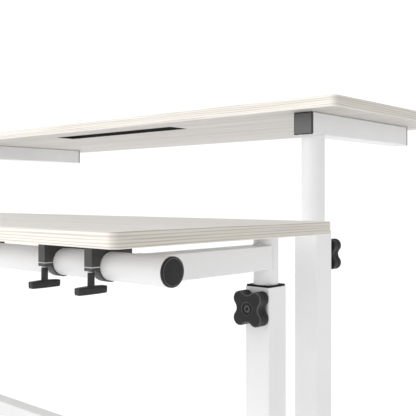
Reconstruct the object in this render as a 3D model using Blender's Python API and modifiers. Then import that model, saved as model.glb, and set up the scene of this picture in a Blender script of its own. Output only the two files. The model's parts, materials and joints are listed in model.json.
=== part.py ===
"""Two-tier mobile desk: a tilting drawing board in front of a raised shelf.

Metres, +Z up, +X to the user's right, the user sits on the -Y side.
The origin is on the floor, under the middle of the desk's bounding box.
"""
import math

import bmesh
import bpy
from mathutils import Matrix

# ---------------------------------------------------------------- clearances
GAP = 0.0003  # between solids that touch or are fixed together
SLIDE_GAP = 0.0003  # radial, round post in its guide collar
PIVOT_GAP = 0.0003  # radial, clamp on the pivot tube
STUD_GAP = 0.0003  # radial, knob stud and clamp screw in their holes
AXLE_GAP = 0.0001  # radial, caster axle in its wheel
KNOB_GAP = 0.0005  # knob hub to the threaded boss
REST_GAP = 0.0005  # drawing board to the post tops it lies on

# ------------------------------------------------------------- drawing board
BOARD_THICKNESS = 0.015
DRAW_WIDTH = 1.040
SIDE_INSET = 0.090  # post axes in from the drawing board's ends
DRAW_DEPTH = 0.343
BOARD_CORNER = 0.010
BOARD_EDGE = 0.0014

# --------------------------------------------------------------------- shelf
SHELF_INSET = 0.023  # shelf's ends in from the drawing board's
SHELF_WIDTH = DRAW_WIDTH - 2 * SHELF_INSET
SHELF_DEPTH = 0.363
TIER_GAP = 0.043  # in plan, drawing board's rear edge to the shelf's front edge
SLOT_LENGTH = 0.312
SLOT_WIDTH = 0.044
SLOT_CORNER = 0.004
SLOT_SETBACK = 0.069  # slot centre line behind the shelf's front edge
LINER_WALL = 0.002

# ----------------------------------------------------------- sides and posts
SIDE_SPACING = DRAW_WIDTH - 2 * SIDE_INSET  # between the two sides' post axes
POST_DIAMETER = 0.0315
POST_WALL = 0.0015
POST_TOP_CAP = 0.004
POST_PITCH = 0.108  # front post axis to rear post axis
POST_INSET = 0.014  # front post axis ahead of the drawing board's rear edge
FRONT_POST_LENGTH = 0.545
REAR_POST_LENGTH = 0.574

COLUMN_SIZE = 0.037
COLUMN_WALL = 0.0012
COLUMN_CORNER = 0.0022
FRONT_COLUMN_LENGTH = 0.5317
REAR_COLUMN_LENGTH = 0.5950
FRONT_RAISE = 0.0218  # arm above the front column at rest
REAR_RAISE = 0.1335  # rail above the rear column at rest

COLLAR_DEPTH = 0.020
COLLAR_FLANGE = 0.0021
COLLAR_INSET = 0.0008

BEAM_SIZE = 0.030  # arms, shelf rails and crossbar
BEAM_WALL = 0.0012
BEAM_CORNER = 0.0016
RAIL_FRONT_SETBACK = 0.0255
RAIL_REAR_SETBACK = 0.0550
CROSSBAR_HEIGHT = 0.218  # crossbar's top above the feet

# ---------------------------------------------------------------- pivot tube
TUBE_DIAMETER = 0.0315
TUBE_WALL = 0.0015
TUBE_SETBACK = 0.1185  # tube axis behind the drawing board's front edge
TUBE_CROWN = 0.01525  # pivot tube's top below the drawing board
TUBE_OVERHANG = 0.0405  # tube end past the arm's centre

# -------------------------------------------------------------- board clamps
CLAMP_OFFSETS = (0.057, 0.141)  # inboard of the arm's centre
MIDDLE_BRACKET_X = 0.115
CLAMP_WIDTH = 0.013
LUG_FRONT = 0.01145  # clamp ahead of its bore
LUG_REAR = 0.01395  # clamp behind its bore
SPLIT_HALF = 0.0005
STRAP_THICKNESS = 0.0013
LUG_THICKNESS = 0.0035
CLAMP_SCREW_DIAMETER = 0.006
CLAMP_SCREW_WALL = 0.0010  # lug left in front of the screw's hole
CLAMP_SCREW_REACH = 0.018
NECK_DIAMETER = 0.0078
NECK_DROP = 0.0020  # neck's top below the lug
HANDLE_LENGTH = 0.0385
HANDLE_HEIGHT = 0.0088
HANDLE_WIDTH = 0.0095
HANDLE_CLEARANCE = 0.0027  # under the strap
HANDLE_EDGE = 0.0020
HANDLE_DROOP = 0.0005

# ---------------------------------------------------------------- star knobs
KNOB_DROPS = {"front": 0.0249, "rear": 0.0308}  # knob axis below the column's top
KNOB_LOBES = 4
KNOB_LOBE_REACH = 0.0170
KNOB_LOBE_RADIUS = 0.0093
KNOB_VALLEY_RADIUS = 0.0085
KNOB_THICKNESS = 0.0173
KNOB_EDGE = 0.0020
KNOB_HUB_DIAMETER = 0.020
KNOB_HUB_LENGTH = 0.0015
KNOB_RECESS_DIAMETER = 0.0152
KNOB_RECESS_DEPTH = 0.0017
KNOB_HEX_DIAMETER = 0.010
KNOB_HEX_HEIGHT = 0.0013
KNOB_WELD = 0.001  # hexagon and hub run on into the grip
STUD_DIAMETER = 0.008
BOSS_DIAMETER = 0.014
BOSS_HEIGHT = 0.0012

# ---------------------------------------------------------- feet and casters
FOOT_SIZE = 0.037
FOOT_WALL = 0.0015
FOOT_FRONT_REACH = 0.239  # front column axis to the foot's front end
FOOT_REAR_REACH = 0.253  # rear column axis to the foot's rear end
CASTER_SETBACK = 0.045  # swivel axis from the foot's end
CASTER_HEIGHT = 0.068
WHEEL_DIAMETER = 0.050
WHEEL_WIDTH = 0.020
WHEEL_SHOULDER = 0.003
WHEEL_DISH = 0.0035
DISH_DRAFT = 0.0006
TYRE_DEPTH = 0.007
HUB_WALL = 0.005
CASTER_TRAIL = 0.018
AXLE_DIAMETER = 0.008
CHEEK_THICKNESS = 0.0025
WHEEL_SIDE_GAP = 0.0015
FORK_TOP_GAP = 0.0035
FORK_TOE_RADIUS = 0.009
CROWN_OVERLAP = 0.002  # crown's top up into the swivel head
CROWN_SHARE = 0.86  # crown's half length, as a share of the head's radius
HEAD_DIAMETER = 0.036
HEAD_HEIGHT = 0.010
STEM_DIAMETER = 0.011
STEM_LENGTH = 0.028
STEM_EDGE = 0.001
HEAD_EDGE = 0.002
AXLE_INSET = 0.0005  # axle's ends in from the fork's faces

# ------------------------------------------------------------------ end caps
CAP_PLATE = 0.003
CAP_PLUG = 0.010
CAP_EDGE = 0.0006

# ------------------------------------------------------------ derived layout
SIDE_X = SIDE_SPACING / 2
TOTAL_DEPTH = DRAW_DEPTH + TIER_GAP + SHELF_DEPTH
DRAW_FRONT_Y = -TOTAL_DEPTH / 2
DRAW_REAR_Y = DRAW_FRONT_Y + DRAW_DEPTH
SHELF_FRONT_Y = DRAW_REAR_Y + TIER_GAP
FRONT_POST_Y = DRAW_REAR_Y - POST_INSET
REAR_POST_Y = FRONT_POST_Y + POST_PITCH
TUBE_Y = DRAW_FRONT_Y + TUBE_SETBACK

FOOT_Z = CASTER_HEIGHT + GAP
FOOT_TOP_Z = FOOT_Z + FOOT_SIZE
COLUMN_Z = FOOT_TOP_Z + GAP
FRONT_COLUMN_TOP_Z = COLUMN_Z + FRONT_COLUMN_LENGTH
REAR_COLUMN_TOP_Z = COLUMN_Z + REAR_COLUMN_LENGTH
TUBE_Z = FRONT_COLUMN_TOP_Z + FRONT_RAISE + BEAM_SIZE / 2
DRAW_UNDER_Z = TUBE_Z + TUBE_DIAMETER / 2 + TUBE_CROWN
RAIL_Z = REAR_COLUMN_TOP_Z + REAR_RAISE + BEAM_SIZE / 2
SHELF_UNDER_Z = RAIL_Z + BEAM_SIZE / 2 + GAP

CLAMP_BORE = TUBE_DIAMETER / 2 + PIVOT_GAP
STRAP_OUTER = CLAMP_BORE + STRAP_THICKNESS
SADDLE_FRONT = CLAMP_BORE + LUG_FRONT
SADDLE_REAR = CLAMP_BORE + LUG_REAR
CLAMP_SCREW_HOLE = CLAMP_SCREW_DIAMETER / 2 + STUD_GAP
CLAMP_SCREW_Y = TUBE_Y - SADDLE_FRONT + CLAMP_SCREW_WALL + CLAMP_SCREW_HOLE

# Local outline axes (x, y) and extrusion axis z, turned to face a world axis.
FACING_X = Matrix(((0, 0, 1), (1, 0, 0), (0, 1, 0)))
FACING_FRONT = Matrix(((1, 0, 0), (0, 0, -1), (0, 1, 0)))
FACING_REAR = Matrix(((-1, 0, 0), (0, 0, 1), (0, 1, 0)))
FACING_LEFT = Matrix(((0, 0, -1), (-1, 0, 0), (0, 1, 0)))
FACING_UP = Matrix.Identity(3)

ROUND_STEPS = 32
SMALL_STEPS = 20
CORNER_STEPS = 3
SIDES = (("right", 1), ("left", -1))


# ---------------------------------------------------------------- scene setup
def clear_scene():
    for old in list(bpy.data.objects):
        bpy.data.objects.remove(old, do_unlink=True)


def new_collection(name):
    collection = bpy.data.collections.new(name)
    bpy.context.scene.collection.children.link(collection)
    return collection


def new_material(name, colour, roughness, metallic):
    material = bpy.data.materials.new(name)
    material.use_nodes = True
    shader = material.node_tree.nodes["Principled BSDF"]
    shader.inputs["Base Color"].default_value = (*colour, 1.0)
    shader.inputs["Roughness"].default_value = roughness
    shader.inputs["Metallic"].default_value = metallic
    return material


clear_scene()
PARTS = new_collection("two_tier_drawing_desk")
CUTTERS = new_collection("cutters")
LAMINATE = new_material("white_maple_laminate", (0.83, 0.80, 0.74), 0.45, 0.0)
WHITE_STEEL = new_material("white_coated_steel", (0.86, 0.86, 0.86), 0.38, 0.0)
GREY_PLASTIC = new_material("dark_grey_plastic", (0.11, 0.11, 0.11), 0.50, 0.0)
BLACK_PLASTIC = new_material("black_plastic", (0.03, 0.03, 0.03), 0.45, 0.0)
KNOB_PLASTIC = new_material("knob_plastic", (0.045, 0.045, 0.048), 0.48, 0.0)
CASTER_STEEL = new_material("caster_steel", (0.62, 0.62, 0.64), 0.30, 0.9)
WHEEL_RUBBER = new_material("wheel_rubber", (0.05, 0.05, 0.05), 0.65, 0.0)


# -------------------------------------------------------------- shape helpers
def arc(centre_x, centre_y, radius, start, end, steps):
    """Points on an arc, ends included, angles in radians."""
    points = []
    for step in range(steps + 1):
        angle = start + (end - start) * step / steps
        points.append((centre_x + radius * math.cos(angle), centre_y + radius * math.sin(angle)))
    return points


def rounded_rectangle(width, height, radius, steps=CORNER_STEPS):
    """Closed outline of a rectangle with round corners, centred."""
    half_x = width / 2 - radius
    half_y = height / 2 - radius
    points = []
    for quarter, (sign_x, sign_y) in enumerate(((1, 1), (-1, 1), (-1, -1), (1, -1))):
        start = quarter * math.pi / 2
        points += arc(sign_x * half_x, sign_y * half_y, radius, start, start + math.pi / 2, steps)
    return points


def star(lobes, reach, lobe_radius, valley_radius, lobe_steps=7, valley_steps=4):
    """Closed outline of round lobes joined by round valleys tangent to them."""
    half_pitch = math.pi / lobes
    contact = math.asin(reach * math.sin(half_pitch) / (lobe_radius + valley_radius))
    valley_reach = reach * math.cos(half_pitch) + (lobe_radius + valley_radius) * math.cos(contact)
    span = half_pitch + contact
    points = []
    for lobe in range(lobes):
        middle = half_pitch * (2 * lobe + 1)
        centre_x = reach * math.cos(middle)
        centre_y = reach * math.sin(middle)
        points += arc(centre_x, centre_y, lobe_radius, middle - span, middle + span, lobe_steps)
        inward = middle + half_pitch + math.pi
        centre_x = -valley_reach * math.cos(inward)
        centre_y = -valley_reach * math.sin(inward)
        valley = arc(centre_x, centre_y, valley_radius, inward + contact, inward - contact, valley_steps)
        points += valley[1:-1]
    return points


def finish_object(obj, material, collection=None):
    """Names the finish, shades the faces and files the object in its collection."""
    obj.data.materials.clear()
    obj.data.materials.append(material)
    obj.data.shade_smooth()
    obj.data.set_sharp_from_angle(angle=math.radians(35))
    (collection or PARTS).objects.link(obj)
    return obj


def outline_mesh(name, outlines, thickness):
    """A flat outline, holes included, extruded evenly about z = 0 and welded shut."""
    curve = bpy.data.curves.new(name + "_outline", "CURVE")
    curve.dimensions = "2D"
    curve.fill_mode = "BOTH"
    curve.extrude = thickness / 2
    for outline in outlines:
        spline = curve.splines.new("POLY")
        spline.points.add(len(outline) - 1)
        for point, (x, y) in zip(spline.points, outline):
            point.co = (x, y, 0.0, 1.0)
        spline.use_cyclic_u = True
    guide = bpy.data.objects.new(name + "_outline", curve)
    bpy.context.scene.collection.objects.link(guide)
    graph = bpy.context.evaluated_depsgraph_get()
    mesh = bpy.data.meshes.new_from_object(guide.evaluated_get(graph))
    bpy.data.objects.remove(guide, do_unlink=True)
    bpy.data.curves.remove(curve)
    work = bmesh.new()
    work.from_mesh(mesh)
    bmesh.ops.remove_doubles(work, verts=work.verts, dist=0.00001)
    bmesh.ops.recalc_face_normals(work, faces=work.faces)
    work.to_mesh(mesh)
    work.free()
    mesh.name = name
    return mesh


def extrusion(name, outlines, thickness, location, facing, material, edge=0.0, collection=None, segments=2):
    """An extruded outline placed at location, its edges rounded by edge."""
    obj = bpy.data.objects.new(name, outline_mesh(name, outlines, thickness))
    obj.matrix_world = Matrix.Translation(location) @ facing.to_4x4()
    finish_object(obj, material, collection)
    if edge > 0.0:
        bevel = obj.modifiers.new("rounded_edges", "BEVEL")
        bevel.width = edge
        bevel.segments = segments
        bevel.limit_method = "ANGLE"
        bevel.angle_limit = math.radians(50)
    return obj


def turned(name, profile, closed, location, facing, material, steps=ROUND_STEPS, collection=None):
    """A profile of (radius, z) points turned about its z axis."""
    mesh = bpy.data.meshes.new(name)
    edges = [(index, index + 1) for index in range(len(profile) - 1)]
    if closed:
        edges.append((len(profile) - 1, 0))
    mesh.from_pydata([(radius, 0.0, height) for radius, height in profile], edges, [])
    obj = bpy.data.objects.new(name, mesh)
    obj.matrix_world = Matrix.Translation(location) @ facing.to_4x4()
    finish_object(obj, material, collection)
    screw = obj.modifiers.new("turn", "SCREW")
    screw.axis = "Z"
    screw.steps = steps
    screw.render_steps = steps
    screw.use_merge_vertices = True
    screw.merge_threshold = 0.00001
    screw.use_smooth_shade = True
    return obj


def as_cutter(obj):
    """Keeps a helper solid out of the renders and out of the model."""
    obj.hide_render = True
    obj.display_type = "WIRE"
    return obj


def cylinder_profile(radius, low, high):
    return [(0.0, high), (radius, high), (radius, low), (0.0, low)]


def cylinder_tool(name, radius, low, high, location, facing, steps=ROUND_STEPS):
    profile = cylinder_profile(radius, low, high)
    obj = turned(name, profile, False, location, facing, BLACK_PLASTIC, steps, CUTTERS)
    return as_cutter(obj)


def box_tool(name, size, location):
    bpy.ops.mesh.primitive_cube_add(size=1.0, location=location)
    obj = bpy.context.active_object
    obj.name = name
    obj.data.transform(Matrix.Diagonal((*size, 1.0)))
    for owner in list(obj.users_collection):
        owner.objects.unlink(obj)
    finish_object(obj, BLACK_PLASTIC, CUTTERS)
    return as_cutter(obj)


def combine(obj, tool, operation):
    modifier = obj.modifiers.new(tool.name, "BOOLEAN")
    modifier.object = tool
    modifier.operation = operation
    modifier.solver = "EXACT"
    return obj


def pivot(name, location):
    """An empty on a joint axis, for the pieces that move about it."""
    empty = bpy.data.objects.new(name, None)
    empty.location = location
    empty.empty_display_size = 0.05
    PARTS.objects.link(empty)
    return empty


def carry(empty, *objects):
    """Parents objects to the empty and leaves them where they are."""
    for obj in objects:
        obj.parent = empty
        obj.matrix_parent_inverse = Matrix.Translation(empty.location).inverted()


def tube_outlines(size, wall, corner):
    inner = size - 2 * wall
    return [rounded_rectangle(size, size, corner), rounded_rectangle(inner, inner, corner - wall)]


def square_tube(name, size, wall, corner, length, centre, facing):
    outlines = tube_outlines(size, wall, corner)
    return extrusion(name, outlines, length, centre, facing, WHITE_STEEL)


def square_cap(name, size, wall, corner, tube_end, facing):
    """A plate over a square tube's end with a plug inside it, facing outward."""
    plug = size - 2 * wall - 2 * GAP
    outward = facing.col[2]
    plate_middle = tube_end + outward * (GAP + CAP_PLATE / 2)
    outline = rounded_rectangle(size, size, corner)
    cap = extrusion(name, [outline], CAP_PLATE, plate_middle, facing, GREY_PLASTIC, CAP_EDGE, PARTS, 1)
    overlap = GAP + CAP_PLATE / 2
    plug_length = CAP_PLUG + overlap
    plug_middle = tube_end + outward * (overlap - plug_length / 2)
    outline = rounded_rectangle(plug, plug, corner - wall)
    tool = extrusion(name + "_plug", [outline], plug_length, plug_middle, facing, GREY_PLASTIC, 0.0, CUTTERS)
    return combine(cap, as_cutter(tool), "UNION")


def round_cap(name, diameter, wall, tube_end, facing):
    """A disc over a round tube's end with a plug inside it, facing outward."""
    outer = diameter / 2
    plug = outer - wall - GAP
    face = GAP + CAP_PLATE
    profile = [
        (0.0, face),
        (outer - CAP_EDGE, face),
        (outer, face - CAP_EDGE),
        (outer, GAP),
        (plug, GAP),
        (plug, -CAP_PLUG),
        (0.0, -CAP_PLUG),
    ]
    return turned(name, profile, False, tube_end, facing, GREY_PLASTIC)


# ------------------------------------------------------------------ the pieces
def build_foot(side, x):
    length = FOOT_FRONT_REACH + POST_PITCH + FOOT_REAR_REACH
    front = FRONT_POST_Y - FOOT_FRONT_REACH
    centre = (x, front + length / 2, FOOT_Z + FOOT_SIZE / 2)
    foot = square_tube(f"foot_{side}", FOOT_SIZE, FOOT_WALL, COLUMN_CORNER, length, centre, FACING_FRONT)
    ends = (("front", front, FACING_FRONT), ("rear", front + length, FACING_REAR))
    for end, y, facing in ends:
        inward = -facing.col[2].y
        caster = (x, y + inward * CASTER_SETBACK, FOOT_Z)
        hole = STEM_DIAMETER / 2 + GAP
        tool = cylinder_tool(f"stem_hole_{end}_{side}", hole, -FOOT_WALL, 2 * FOOT_WALL, caster, FACING_UP)
        combine(foot, tool, "DIFFERENCE")
        tube_end = Matrix.Translation((x, y, FOOT_Z + FOOT_SIZE / 2)).translation
        square_cap(f"foot_cap_{end}_{side}", FOOT_SIZE, FOOT_WALL, COLUMN_CORNER, tube_end, facing)
        build_caster(f"{end}_{side}", caster)


def build_caster(place, seat):
    """A swivel fork and its wheel, hanging from seat, trailing to the rear."""
    x, y, z = seat
    top = z - GAP
    axle_y = y + CASTER_TRAIL
    wheel_radius = WHEEL_DIAMETER / 2
    axle_z = wheel_radius
    fork_width = WHEEL_WIDTH + 2 * WHEEL_SIDE_GAP + 2 * CHEEK_THICKNESS
    crown_top = top - HEAD_HEIGHT + CROWN_OVERLAP
    crown_under = axle_z + wheel_radius + FORK_TOP_GAP
    head_radius = HEAD_DIAMETER / 2
    toe = arc(axle_y - y, axle_z - top, FORK_TOE_RADIUS, -math.pi * 0.95, math.pi * 0.05, 8)
    shoulder = head_radius * CROWN_SHARE
    outline = toe + [(shoulder, crown_top - top), (-shoulder, crown_top - top)]
    fork = extrusion(f"caster_fork_{place}", [outline], fork_width, (x, y, top), FACING_X, CASTER_STEEL)
    well_height = crown_under - axle_z + 2 * FORK_TOE_RADIUS
    well_size = (WHEEL_WIDTH + 2 * WHEEL_SIDE_GAP, 4 * wheel_radius, well_height)
    well = box_tool(f"wheel_well_{place}", well_size, (x, y, crown_under - well_height / 2))
    combine(fork, well, "DIFFERENCE")
    stem_radius = STEM_DIAMETER / 2
    head_profile = [
        (0.0, STEM_LENGTH),
        (stem_radius - STEM_EDGE, STEM_LENGTH),
        (stem_radius, STEM_LENGTH - STEM_EDGE),
        (stem_radius, 0.0),
        (head_radius - HEAD_EDGE, 0.0),
        (head_radius, -HEAD_EDGE),
        (head_radius, -HEAD_HEIGHT),
        (0.0, -HEAD_HEIGHT),
    ]
    head = turned(
        f"swivel_head_{place}", head_profile, False, (x, y, top), FACING_UP, CASTER_STEEL, SMALL_STEPS,
        CUTTERS
    )
    combine(fork, as_cutter(head), "UNION")
    axle_low = -fork_width / 2 + AXLE_INSET
    axle = cylinder_tool(
        f"axle_{place}", AXLE_DIAMETER / 2, axle_low, -axle_low, (x, axle_y, axle_z), FACING_X, SMALL_STEPS
    )
    combine(fork, axle, "UNION")
    half = WHEEL_WIDTH / 2
    bore = AXLE_DIAMETER / 2 + AXLE_GAP
    hub = bore + HUB_WALL
    rim = wheel_radius - TYRE_DEPTH
    wheel_profile = [
        (bore, half),
        (hub, half),
        (hub + DISH_DRAFT, half - WHEEL_DISH),
        (rim, half - WHEEL_DISH),
        (rim + DISH_DRAFT, half),
        (wheel_radius - WHEEL_SHOULDER, half),
        (wheel_radius, half - WHEEL_SHOULDER),
    ]
    wheel_profile += [(radius, -height) for radius, height in reversed(wheel_profile)]
    return turned(
        f"caster_wheel_{place}", wheel_profile, True, (x, axle_y, axle_z), FACING_X, WHEEL_RUBBER,
        SMALL_STEPS
    )


def build_column(tier, side, x, y, length, facing):
    """A square column with its guide collar, threaded boss and star knob."""
    top = COLUMN_Z + length
    centre = (x, y, COLUMN_Z + length / 2)
    column = square_tube(
        f"{tier}_column_{side}", COLUMN_SIZE, COLUMN_WALL, COLUMN_CORNER, length, centre, FACING_UP
    )
    knob_z = top - KNOB_DROPS[tier]
    axis_point = Matrix.Translation((x, y, knob_z)).translation
    face = COLUMN_SIZE / 2
    boss = cylinder_tool(
        f"{tier}_boss_{side}", BOSS_DIAMETER / 2, face - COLUMN_WALL / 2, face + BOSS_HEIGHT,
        axis_point, facing, SMALL_STEPS
    )
    combine(column, boss, "UNION")
    bore = cylinder_tool(
        f"{tier}_stud_hole_{side}", STUD_DIAMETER / 2 + STUD_GAP, COLUMN_SIZE / 4,
        face + BOSS_HEIGHT * 2, axis_point, facing, SMALL_STEPS
    )
    combine(column, bore, "DIFFERENCE")
    build_collar(tier, side, x, y, top)
    build_knob(tier, side, axis_point, facing)


def build_collar(tier, side, x, y, column_top):
    """A plastic guide in the column's mouth, round inside and square outside."""
    inner = COLUMN_SIZE - 2 * COLUMN_WALL
    plug = inner - 2 * GAP
    flange = COLUMN_SIZE - 2 * COLLAR_INSET
    seat = column_top + GAP
    outline = rounded_rectangle(flange, flange, COLUMN_CORNER - COLLAR_INSET)
    centre = (x, y, seat + COLLAR_FLANGE / 2)
    collar = extrusion(
        f"{tier}_collar_{side}", [outline], COLLAR_FLANGE, centre, FACING_UP, BLACK_PLASTIC
    )
    overlap = COLLAR_FLANGE / 2 + GAP
    depth = COLLAR_DEPTH + overlap
    outline = rounded_rectangle(plug, plug, COLUMN_CORNER - COLUMN_WALL)
    centre = (x, y, column_top + overlap - depth / 2)
    tool = extrusion(
        f"{tier}_collar_plug_{side}", [outline], depth, centre, FACING_UP, BLACK_PLASTIC, 0.0, CUTTERS
    )
    combine(collar, as_cutter(tool), "UNION")
    guide = cylinder_tool(
        f"{tier}_collar_bore_{side}", POST_DIAMETER / 2 + SLIDE_GAP, -2 * COLLAR_DEPTH, COLLAR_DEPTH,
        (x, y, column_top), FACING_UP, ROUND_STEPS
    )
    return combine(collar, guide, "DIFFERENCE")


def build_knob(tier, side, axis_point, facing):
    """A lobed grip with its hub and stud, turning on the column's bore."""
    inner_face = COLUMN_SIZE / 2 + BOSS_HEIGHT + KNOB_GAP
    grip_low = inner_face + KNOB_HUB_LENGTH
    grip_high = grip_low + KNOB_THICKNESS
    outward = facing.col[2]
    centre = axis_point + outward * (grip_low + grip_high) / 2
    outline = star(KNOB_LOBES, KNOB_LOBE_REACH, KNOB_LOBE_RADIUS, KNOB_VALLEY_RADIUS)
    knob = extrusion(
        f"{tier}_knob_{side}", [outline], KNOB_THICKNESS, centre, facing, KNOB_PLASTIC, KNOB_EDGE, PARTS, 1
    )
    recess_floor = grip_high - KNOB_RECESS_DEPTH
    recess = cylinder_tool(
        f"{tier}_knob_recess_{side}", KNOB_RECESS_DIAMETER / 2, recess_floor,
        grip_high + KNOB_RECESS_DEPTH, axis_point, facing, SMALL_STEPS
    )
    combine(knob, recess, "DIFFERENCE")
    hexagon = cylinder_tool(
        f"{tier}_knob_hexagon_{side}", KNOB_HEX_DIAMETER / 2, recess_floor - KNOB_WELD,
        recess_floor + KNOB_HEX_HEIGHT, axis_point, facing, 6
    )
    combine(knob, hexagon, "UNION")
    tip = POST_DIAMETER / 2 + STUD_GAP
    stud_profile = [
        (0.0, grip_low + KNOB_WELD),
        (KNOB_HUB_DIAMETER / 2, grip_low + KNOB_WELD),
        (KNOB_HUB_DIAMETER / 2, inner_face),
        (STUD_DIAMETER / 2, inner_face),
        (STUD_DIAMETER / 2, tip),
        (0.0, tip),
    ]
    stud = turned(
        f"{tier}_knob_stud_{side}", stud_profile, False, axis_point, facing, KNOB_PLASTIC, SMALL_STEPS,
        CUTTERS
    )
    return combine(knob, as_cutter(stud), "UNION")


def build_post(name, x, y, top, length, capped):
    """A round post hanging from top, open below and closed above if capped."""
    outer = POST_DIAMETER / 2
    inner = outer - POST_WALL
    low = -length
    if capped:
        profile = [
            (0.0, 0.0),
            (outer - CAP_EDGE, 0.0),
            (outer, -CAP_EDGE),
            (outer, low),
            (inner, low),
            (inner, -POST_TOP_CAP),
            (0.0, -POST_TOP_CAP),
        ]
    else:
        profile = [(outer, 0.0), (outer, low), (inner, low), (inner, 0.0)]
    return turned(name, profile, not capped, (x, y, top), FACING_UP, WHITE_STEEL)


def build_arm(side, x):
    """A square arm coped round the pivot tube in front and the post behind."""
    length = FRONT_POST_Y - TUBE_Y
    centre = (x, TUBE_Y + length / 2, TUBE_Z)
    arm = square_tube(f"arm_{side}", BEAM_SIZE, BEAM_WALL, BEAM_CORNER, length, centre, FACING_FRONT)
    reach = BEAM_SIZE
    tube_cope = cylinder_tool(
        f"tube_cope_{side}", TUBE_DIAMETER / 2 + GAP, -reach, reach, (x, TUBE_Y, TUBE_Z), FACING_X
    )
    combine(arm, tube_cope, "DIFFERENCE")
    post_cope = cylinder_tool(
        f"post_cope_{side}", POST_DIAMETER / 2 + GAP, -reach, reach, (x, FRONT_POST_Y, TUBE_Z), FACING_UP
    )
    return combine(arm, post_cope, "DIFFERENCE")


def build_lower_tier():
    carrier = pivot("lower_tier_axis", (0.0, FRONT_POST_Y, TUBE_Z))
    tube_length = SIDE_SPACING + 2 * TUBE_OVERHANG
    outer = TUBE_DIAMETER / 2
    inner = outer - TUBE_WALL
    half = tube_length / 2
    profile = [(outer, half), (outer, -half), (inner, -half), (inner, half)]
    tube = turned("pivot_tube", profile, True, (0.0, TUBE_Y, TUBE_Z), FACING_X, WHITE_STEEL)
    carry(carrier, tube)
    for side, sign in SIDES:
        x = sign * SIDE_X
        facing = FACING_X if sign > 0 else FACING_LEFT
        end = Matrix.Translation((sign * half, TUBE_Y, TUBE_Z)).translation
        cap = round_cap(f"pivot_tube_cap_{side}", TUBE_DIAMETER, TUBE_WALL, end, facing)
        arm = build_arm(side, x)
        post_top = DRAW_UNDER_Z - REST_GAP
        post = build_post(f"front_post_{side}", x, FRONT_POST_Y, post_top, FRONT_POST_LENGTH, True)
        carry(carrier, cap, arm, post)
    return carrier


def build_board(name, width, depth, under, front):
    outline = rounded_rectangle(width, depth, BOARD_CORNER, 8)
    centre = (0.0, front + depth / 2, under + BOARD_THICKNESS / 2)
    return extrusion(
        name, [outline], BOARD_THICKNESS, centre, FACING_UP, LAMINATE, BOARD_EDGE, PARTS, 2
    )


def build_saddle(name, x, screw_hole):
    """The block under the board that sits on the pivot tube."""
    top = DRAW_UNDER_Z - GAP - TUBE_Z
    start = math.asin(SPLIT_HALF / CLAMP_BORE)
    bore = arc(0.0, 0.0, CLAMP_BORE, math.pi - start, start, 16)
    outline = [(-SADDLE_FRONT, top), (-SADDLE_FRONT, SPLIT_HALF)] + bore
    outline += [(SADDLE_REAR, SPLIT_HALF), (SADDLE_REAR, top)]
    saddle = extrusion(name, [outline], CLAMP_WIDTH, (x, TUBE_Y, TUBE_Z), FACING_X, GREY_PLASTIC)
    if screw_hole:
        tool = cylinder_tool(
            f"{name}_hole", CLAMP_SCREW_HOLE, -SPLIT_HALF, CLAMP_SCREW_REACH + 2 * STUD_GAP,
            (x, CLAMP_SCREW_Y, TUBE_Z), FACING_UP, SMALL_STEPS
        )
        combine(saddle, tool, "DIFFERENCE")
    return saddle


def build_strap(name, x):
    """The lower jaw: two lugs joined by a half ring under the pivot tube."""
    lug_under = SPLIT_HALF + LUG_THICKNESS
    inner_start = math.asin(SPLIT_HALF / CLAMP_BORE)
    outer_start = math.asin(lug_under / STRAP_OUTER)
    inner = arc(0.0, 0.0, CLAMP_BORE, math.pi + inner_start, 2 * math.pi - inner_start, 16)
    outer = arc(0.0, 0.0, STRAP_OUTER, 2 * math.pi - outer_start, math.pi + outer_start, 16)
    outline = [(-SADDLE_FRONT, -SPLIT_HALF)] + inner
    outline += [(SADDLE_REAR, -SPLIT_HALF), (SADDLE_REAR, -lug_under)] + outer
    outline += [(-SADDLE_FRONT, -lug_under)]
    strap = extrusion(name, [outline], CLAMP_WIDTH, (x, TUBE_Y, TUBE_Z), FACING_X, GREY_PLASTIC)
    tool = cylinder_tool(
        f"{name}_hole", CLAMP_SCREW_HOLE, -2 * lug_under, SPLIT_HALF, (x, CLAMP_SCREW_Y, TUBE_Z),
        FACING_UP, SMALL_STEPS
    )
    return combine(strap, tool, "DIFFERENCE")


def build_clamp_screw(name, x):
    """A T-handle along Y with the screw that draws the strap to the saddle."""
    high = -STRAP_OUTER - HANDLE_CLEARANCE
    low = high - HANDLE_HEIGHT
    half = HANDLE_LENGTH / 2
    outline = [
        (-half, high - HANDLE_DROOP),
        (-half * 0.4, high),
        (half * 0.4, high),
        (half, high - HANDLE_DROOP),
        (half * 0.96, low + HANDLE_DROOP),
        (half * 0.6, low),
        (-half * 0.6, low),
        (-half * 0.96, low + HANDLE_DROOP),
    ]
    seat = (x, CLAMP_SCREW_Y, TUBE_Z)
    screw = extrusion(name, [outline], HANDLE_WIDTH, seat, FACING_X, KNOB_PLASTIC, HANDLE_EDGE)
    neck_top = -SPLIT_HALF - LUG_THICKNESS - NECK_DROP
    neck_low = high - HANDLE_HEIGHT / 3
    shaft_profile = [
        (0.0, CLAMP_SCREW_REACH),
        (CLAMP_SCREW_DIAMETER / 2, CLAMP_SCREW_REACH),
        (CLAMP_SCREW_DIAMETER / 2, neck_top),
        (NECK_DIAMETER / 2, neck_top),
        (NECK_DIAMETER / 2, neck_low),
        (0.0, neck_low),
    ]
    shaft = turned(
        f"{name}_shaft", shaft_profile, False, seat, FACING_UP, KNOB_PLASTIC, SMALL_STEPS, CUTTERS
    )
    return combine(screw, as_cutter(shaft), "UNION")


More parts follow.
